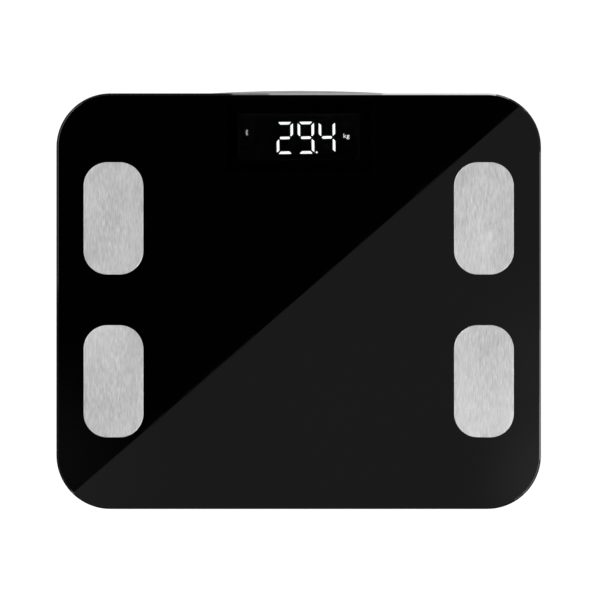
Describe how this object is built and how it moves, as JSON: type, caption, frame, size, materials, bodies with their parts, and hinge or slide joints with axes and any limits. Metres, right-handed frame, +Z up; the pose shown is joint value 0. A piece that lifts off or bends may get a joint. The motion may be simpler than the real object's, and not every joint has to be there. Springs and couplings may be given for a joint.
{
  "type": "digital bathroom scale",
  "caption": "Digital bathroom scale with a black tempered glass platform, brushed steel foot electrodes, a lit display, and load-cell feet under a grey moulded casing.",
  "frame": {"origin": "on the floor, under the middle of the whole outline", "axes": "+X to the right of someone reading the display, +Y from the user's feet to the display, +Z up out of the glass"},
  "size_m": [0.3, 0.259, 0.0258],
  "materials": {
    "black_glass": "polished black back-printed tempered glass with a ground edge",
    "brushed_steel": "fine straight brushing along the plate's length",
    "plated_steel": "bright nickel plating",
    "load_cell_steel": "satin plated sheet steel",
    "grey_plastic": "fine spark-eroded texture",
    "dark_plastic": "satin moulded",
    "white_plastic": "satin moulded",
    "rubber": "soft matte",
    "foam_tape": "closed-cell foam",
    "board_green": "solder resist over glass-fibre board",
    "chip_black": "moulded epoxy",
    "battery_sleeve": "plain printed film on a metal can",
    "lead_grey": "smooth insulation",
    "lead_black": "smooth insulation",
    "lead_red": "smooth insulation"
  },
  "bodies": {
    "casing": {"glass_platform": "black_glass", "electrode_front_left": "brushed_steel", "electrode_front_right": "brushed_steel", "electrode_rear_left": "brushed_steel", "electrode_rear_right": "brushed_steel", "electrode_nut_front_left": "plated_steel", "electrode_nut_front_right": "plated_steel", "electrode_nut_rear_left": "plated_steel", "electrode_nut_rear_right": "plated_steel", "platform_tape": "foam_tape", "lower_casing": "grey_plastic", "load_cell_front_left": "load_cell_steel", "load_cell_front_right": "load_cell_steel", "load_cell_rear_left": "load_cell_steel", "load_cell_rear_right": "load_cell_steel", "load_cell_holder_front_left": "dark_plastic", "load_cell_holder_front_right": "dark_plastic", "load_cell_holder_rear_left": "dark_plastic", "load_cell_holder_rear_right": "dark_plastic", "display_diffuser": "dark_plastic", "main_board": "board_green", "board_screw_left": "plated_steel", "board_screw_right": "plated_steel", "radio_module": "plated_steel", "contact_positive": "plated_steel", "contact_negative": "plated_steel", "contact_bridge_left": "plated_steel", "contact_bridge_right": "plated_steel", "battery_spring_1": "plated_steel", "battery_spring_2": "plated_steel", "battery_spring_3": "plated_steel", "display_module": "white_plastic", "measuring_chip": "chip_black", "unit_switch": "chip_black", "battery_1": "battery_sleeve", "battery_2": "battery_sleeve", "battery_3": "battery_sleeve", "load_cell_lead_front_left": "lead_grey", "load_cell_lead_front_right": "lead_grey", "load_cell_lead_rear_left": "lead_grey", "load_cell_lead_rear_right": "lead_grey", "battery_lead_negative": "lead_black", "electrode_lead_front_left": "lead_black", "electrode_lead_front_right": "lead_black", "electrode_lead_rear_left": "lead_black", "electrode_lead_rear_right": "lead_black", "battery_lead_positive": "lead_red"},
    "battery_door": {"battery_door": "grey_plastic"},
    "unit_button": {"unit_button": "dark_plastic", "unit_switch_plunger": "white_plastic"},
    "foot_front_left": {"foot_cup_front_left": "grey_plastic", "foot_pad_front_left": "rubber"},
    "foot_front_right": {"foot_cup_front_right": "grey_plastic", "foot_pad_front_right": "rubber"},
    "foot_rear_left": {"foot_cup_rear_left": "grey_plastic", "foot_pad_rear_left": "rubber"},
    "foot_rear_right": {"foot_cup_rear_right": "grey_plastic", "foot_pad_rear_right": "rubber"}
  },
  "joints": [
    {"name": "foot_press_front_left", "type": "slide", "parent": "casing", "child": "foot_front_left", "axis": [0, 0, 1], "range_m": [0, 0.00025], "stiffness_N_per_m": 40000, "springref_m": -0.00012},
    {"name": "foot_press_front_right", "type": "slide", "parent": "casing", "child": "foot_front_right", "axis": [0, 0, 1], "range_m": [0, 0.00025], "stiffness_N_per_m": 40000, "springref_m": -0.00012},
    {"name": "foot_press_rear_left", "type": "slide", "parent": "casing", "child": "foot_rear_left", "axis": [0, 0, 1], "range_m": [0, 0.00025], "stiffness_N_per_m": 40000, "springref_m": -0.00012},
    {"name": "foot_press_rear_right", "type": "slide", "parent": "casing", "child": "foot_rear_right", "axis": [0, 0, 1], "range_m": [0, 0.00025], "stiffness_N_per_m": 40000, "springref_m": -0.00012},
    {"name": "battery_door_hinge", "type": "hinge", "parent": "casing", "child": "battery_door", "pos_m": [0, 0.03935, 0.004], "axis": [1, 0, 0], "range_deg": [0, 75]},
    {"name": "unit_button_press", "type": "slide", "parent": "casing", "child": "unit_button", "axis": [0, 0, 1], "range_m": [0, 0.0005], "stiffness_N_per_m": 2000, "springref_m": -0.0003}
  ]
}
